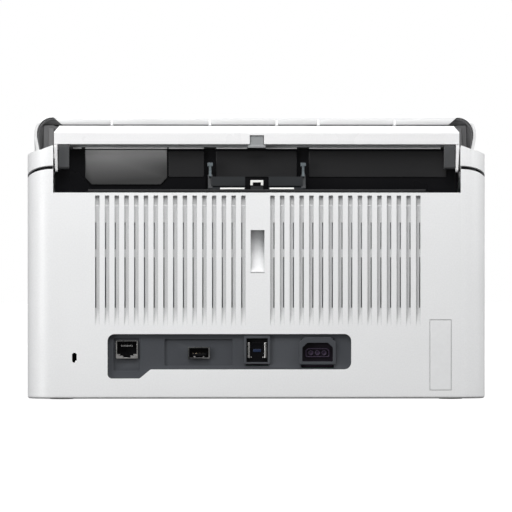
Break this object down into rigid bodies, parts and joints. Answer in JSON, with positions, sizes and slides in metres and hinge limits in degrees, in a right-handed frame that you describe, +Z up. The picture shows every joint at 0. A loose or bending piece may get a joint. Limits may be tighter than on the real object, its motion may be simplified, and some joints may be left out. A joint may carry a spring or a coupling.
{
  "type": "sheet fed document scanner",
  "caption": "Compact desktop sheet-fed scanner, folded: sloping hinged input tray with sliding hood, vented rear with ports, swing-down front hatch, pull-out output tray.",
  "frame": {"origin": "centre of the footprint on the desk", "axes": "+X to the right as seen from the front, the front faces -Y and the ports face +Y, +Z up"},
  "size_m": [0.31, 0.198, 0.193],
  "materials": {
    "white_plastic": "fine matte moulding",
    "light_grey_plastic": "matte moulding",
    "dark_plastic": "satin moulding",
    "slate_plastic": "matte moulding",
    "grey_plastic": "satin moulding",
    "gloss_black": "gloss",
    "screen_glass": "gloss display window",
    "scan_glass": "polished",
    "steel_sheet": "zinc-plated sheet",
    "bright_steel": "ground",
    "nickel_shell": "plated",
    "black_rubber": "matte",
    "grey_rubber": "matte",
    "nylon_white": "as moulded",
    "board_green": "solder mask",
    "label_paper": "blank foil label"
  },
  "bodies": {
    "housing": {"rear_cover": "white_plastic", "left_side_cover": "white_plastic", "right_side_cover": "white_plastic", "bottom_cover": "dark_plastic", "foot_front_right": "black_rubber", "foot_front_left": "black_rubber", "foot_rear_right": "black_rubber", "foot_rear_left": "black_rubber", "port_bezel": "slate_plastic", "ethernet_jack": "nickel_shell", "usb_host_port": "nickel_shell", "usb_device_port": "light_grey_plastic", "power_inlet": "slate_plastic", "main_board": "board_green", "rating_label": "label_paper", "left_frame": "steel_sheet", "right_frame": "steel_sheet", "lower_chute": "dark_plastic", "lower_scan_module": "gloss_black", "lower_scan_glass": "scan_glass", "feeder_cover": "dark_plastic", "service_plate": "grey_plastic", "retard_holder": "grey_plastic", "drive_belt": "black_rubber", "drive_motor": "steel_sheet", "pinion_bridge": "nylon_white"},
    "retard_roll": {"retard_roller": "grey_rubber"},
    "motor_rotor": {"motor_shaft": "bright_steel"},
    "feed_roll": {"feed_shaft": "bright_steel", "feed_tyre_left": "grey_rubber", "feed_tyre_right": "grey_rubber"},
    "exit_roll": {"exit_shaft": "bright_steel", "exit_tyre_left": "grey_rubber", "exit_tyre_right": "grey_rubber"},
    "pick_roll": {"pick_shaft": "bright_steel", "pick_tyre": "grey_rubber"},
    "idler": {"idler_gear": "nylon_white"},
    "right_guide_slider": {"right_guide": "dark_plastic", "right_rack": "nylon_white"},
    "left_guide_slider": {"left_guide": "dark_plastic", "left_rack": "nylon_white"},
    "pinion": {"guide_pinion": "nylon_white"},
    "input_tray": {"tray_frame": "white_plastic", "tray_liner": "dark_plastic", "tray_tab": "grey_plastic"},
    "tray_slider": {"tray_extension": "white_plastic"},
    "hatch": {"hatch_cover": "white_plastic", "hatch_inner": "dark_plastic", "upper_scan_module": "gloss_black", "upper_scan_glass": "scan_glass", "control_panel": "gloss_black", "touch_screen": "screen_glass"},
    "feed_pinch_roll": {"feed_pinch": "grey_plastic"},
    "exit_pinch_roll": {"exit_pinch": "grey_plastic"},
    "power_key": {"power_button": "light_grey_plastic"},
    "scan_key": {"scan_button": "light_grey_plastic"},
    "latch": {"hatch_latch": "grey_plastic"},
    "output": {"output_tray": "dark_plastic"},
    "output_slider": {"output_extension": "dark_plastic"},
    "stop_flap": {"paper_stop": "grey_plastic"}
  },
  "joints": [
    {"name": "input_tray_hinge", "type": "hinge", "parent": "housing", "child": "input_tray", "pos_m": [0, 0.09, 0.1555], "axis": [-1, 0, 0], "range_deg": [0, 125]},
    {"name": "tray_extension_slide", "type": "slide", "parent": "input_tray", "child": "tray_slider", "axis": [0, -0.9799, -0.1994], "range_m": [0, 0.09]},
    {"name": "right_guide_slide", "type": "slide", "parent": "housing", "child": "right_guide_slider", "axis": [1, 0, 0], "range_m": [0, 0.078]},
    {"name": "left_guide_slide", "type": "slide", "parent": "housing", "child": "left_guide_slider", "axis": [-1, 0, 0], "range_m": [0, 0.078]},
    {"name": "guide_pinion_spin", "type": "hinge", "parent": "housing", "child": "pinion", "pos_m": [0, 0.07863, 0.12463], "axis": [0, 0.7071, -0.7071], "range_deg": [0, 745]},
    {"name": "feed_roller_spin", "type": "hinge", "parent": "housing", "child": "feed_roll", "pos_m": [0, 0.01471, 0.04996], "axis": [1, 0, 0], "continuous": true},
    {"name": "motor_spin", "type": "hinge", "parent": "housing", "child": "motor_rotor", "pos_m": [0, 0.052, 0.045], "axis": [1, 0, 0], "continuous": true},
    {"name": "exit_roller_spin", "type": "hinge", "parent": "housing", "child": "exit_roll", "pos_m": [0, -0.00721, 0.02945], "axis": [1, 0, 0], "continuous": true},
    {"name": "idler_spin", "type": "hinge", "parent": "housing", "child": "idler", "pos_m": [0, 0.03242, 0.06477], "axis": [1, 0, 0], "continuous": true},
    {"name": "pick_roller_spin", "type": "hinge", "parent": "housing", "child": "pick_roll", "pos_m": [0, 0.05013, 0.07959], "axis": [1, 0, 0], "continuous": true},
    {"name": "retard_roller_spin", "type": "hinge", "parent": "housing", "child": "retard_roll", "pos_m": [0, 0.03422, 0.0955], "axis": [1, 0, 0], "continuous": true},
    {"name": "feed_pinch_spin", "type": "hinge", "parent": "hatch", "child": "feed_pinch_roll", "pos_m": [0, 0.00445, 0.06021], "axis": [1, 0, 0], "continuous": true},
    {"name": "exit_pinch_spin", "type": "hinge", "parent": "hatch", "child": "exit_pinch_roll", "pos_m": [0, -0.01676, 0.039], "axis": [1, 0, 0], "continuous": true},
    {"name": "hatch_hinge", "type": "hinge", "parent": "housing", "child": "hatch", "pos_m": [0, -0.08, 0.026], "axis": [1, 0, 0], "range_deg": [0, 40]},
    {"name": "hatch_latch_press", "type": "slide", "parent": "hatch", "child": "latch", "axis": [0, 0, -1], "range_m": [0, 0.003]},
    {"name": "power_button_press", "type": "slide", "parent": "hatch", "child": "power_key", "axis": [0, 0.9859, -0.1673], "range_m": [0, 0.001]},
    {"name": "scan_button_press", "type": "slide", "parent": "hatch", "child": "scan_key", "axis": [0, 0.9859, -0.1673], "range_m": [0, 0.001]},
    {"name": "output_tray_slide", "type": "slide", "parent": "housing", "child": "output", "axis": [0, -1, 0], "range_m": [0, 0.12]},
    {"name": "output_extension_slide", "type": "slide", "parent": "output", "child": "output_slider", "axis": [0, -1, 0], "range_m": [0, 0.09]},
    {"name": "paper_stop_hinge", "type": "hinge", "parent": "output_slider", "child": "stop_flap", "pos_m": [0, -0.09, 0.0117], "axis": [1, 0, 0], "range_deg": [0, 85]}
  ],
  "couplings": [
    {"joint": "left_guide_slide", "follows": "right_guide_slide", "ratio": 1},
    {"joint": "guide_pinion_spin", "follows": "right_guide_slide", "rad_per_m": 166.67},
    {"joint": "motor_spin", "follows": "feed_roller_spin", "ratio": 1.2857},
    {"joint": "exit_roller_spin", "follows": "feed_roller_spin", "ratio": 1.125},
    {"joint": "idler_spin", "follows": "feed_roller_spin", "ratio": -0.76923},
    {"joint": "pick_roller_spin", "follows": "feed_roller_spin", "ratio": 1}
  ]
}
